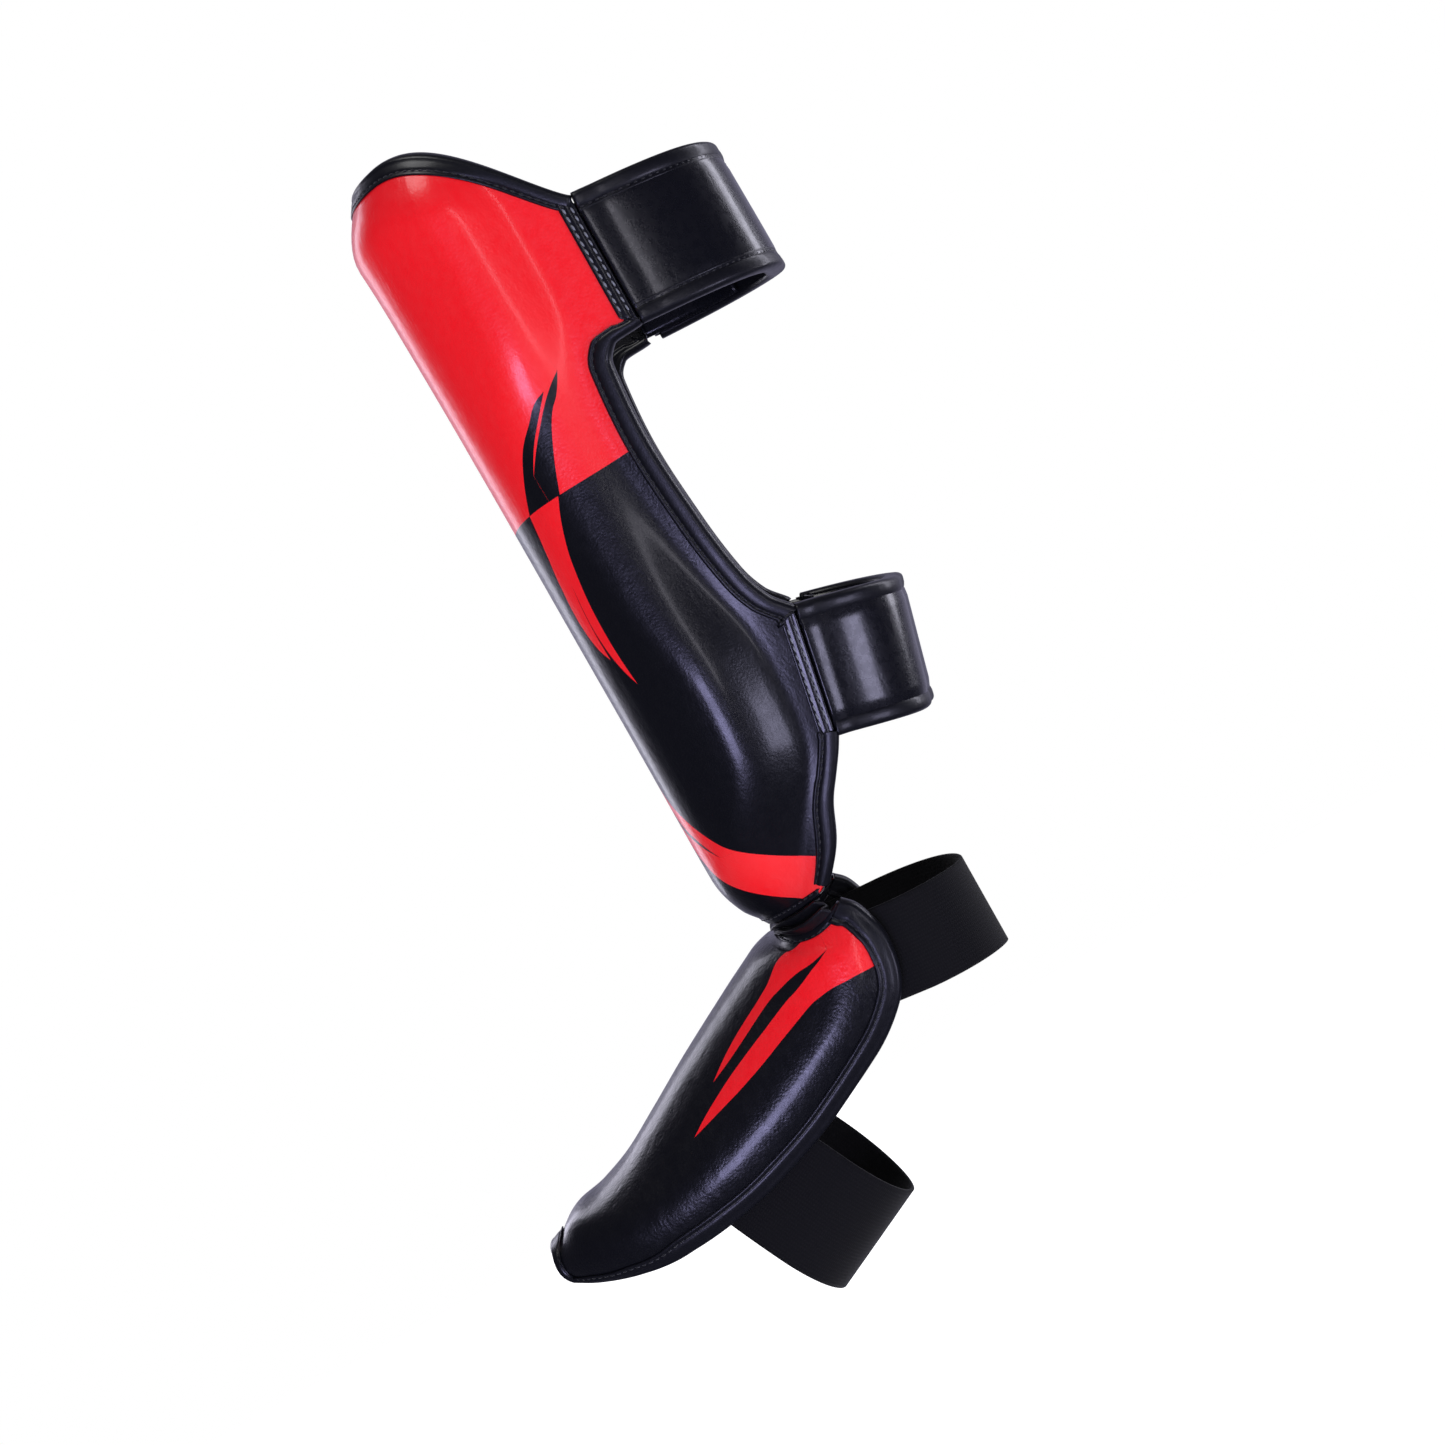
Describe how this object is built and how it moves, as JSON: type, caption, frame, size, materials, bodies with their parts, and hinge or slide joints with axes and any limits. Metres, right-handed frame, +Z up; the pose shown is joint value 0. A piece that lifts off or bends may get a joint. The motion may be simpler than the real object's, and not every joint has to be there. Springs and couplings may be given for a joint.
{
  "type": "shin and instep guard",
  "caption": "Padded shin panel with two wrap-round calf straps and a folding instep panel held by elastic loops round the ankle and foot.",
  "frame": {"origin": "on the leg's axis, level with the ankle fold where the shin panel meets the instep panel", "axes": "+Z up the shin towards the knee, -Y towards the toes, +X towards the outer side of the leg, where the straps are sewn on"},
  "size_m": [0.1444, 0.2909, 0.4975],
  "materials": {
    "printed_leather": "semi-gloss synthetic leather, red and black",
    "black_leather": "semi-gloss synthetic leather, black",
    "binding": "black folded binding tape",
    "lining": "black woven lining",
    "impact_foam": "closed-cell foam",
    "soft_foam": "soft foam sheet",
    "elastic": "matt woven elastic",
    "hook_tape": "moulded nylon hooks",
    "loop_tape": "brushed nylon loops",
    "thread": "grey polyester thread"
  },
  "bodies": {
    "shin": {"shin_cover": "printed_leather", "shin_lining": "lining", "shin_base_foam": "soft_foam", "shin_impact_foam": "impact_foam", "shin_top_binding": "binding", "shin_calf_bindings": "binding", "shin_lower_binding": "binding", "upper_tab": "black_leather", "upper_tab_loop": "loop_tape", "upper_seam_stitching": "thread", "lower_tab": "black_leather", "lower_tab_loop": "loop_tape", "lower_seam_stitching": "thread", "ankle_gusset": "elastic"},
    "instep": {"instep_cover": "printed_leather", "instep_foam": "impact_foam", "instep_lining": "lining", "instep_binding": "binding", "ankle_elastic": "elastic", "foot_elastic": "elastic"},
    "upper_strap": {"upper_strap_cover": "black_leather", "upper_strap_core": "soft_foam", "upper_strap_lining": "lining", "upper_strap_binding": "binding"},
    "upper_strap_end": {"upper_strap_end_cover": "black_leather", "upper_strap_end_core": "soft_foam", "upper_strap_end_lining": "lining", "upper_strap_end_binding": "binding", "upper_strap_hook": "hook_tape"},
    "lower_strap": {"lower_strap_cover": "black_leather", "lower_strap_core": "soft_foam", "lower_strap_lining": "lining", "lower_strap_binding": "binding"},
    "lower_strap_end": {"lower_strap_end_cover": "black_leather", "lower_strap_end_core": "soft_foam", "lower_strap_end_lining": "lining", "lower_strap_end_binding": "binding", "lower_strap_hook": "hook_tape"}
  },
  "joints": [
    {"name": "instep_fold", "type": "hinge", "parent": "shin", "child": "instep", "pos_m": [0, 0, -0.03], "axis": [1, 0, 0], "range_deg": [-6, 25], "deforming": ["ankle_gusset"]},
    {"name": "upper_strap_swing", "type": "hinge", "parent": "shin", "child": "upper_strap", "pos_m": [0.0661, 0.02927, 0.2704], "axis": [-0.0068, -0.0015, -1], "range_deg": [0, 80]},
    {"name": "upper_strap_bend", "type": "hinge", "parent": "upper_strap", "child": "upper_strap_end", "pos_m": [0.0003, 0.09235, 0.2667], "axis": [0, 0.0166, -0.9999], "range_deg": [0, 100]},
    {"name": "lower_strap_swing", "type": "hinge", "parent": "shin", "child": "lower_strap", "pos_m": [0.05431, 0.02153, 0.08818], "axis": [-0.1058, -0.1884, -0.9764], "range_deg": [0, 80]},
    {"name": "lower_strap_bend", "type": "hinge", "parent": "lower_strap", "child": "lower_strap_end", "pos_m": [0.00024, 0.06423, 0.07589], "axis": [-0.0005, -0.2556, -0.9668], "range_deg": [0, 100]}
  ]
}
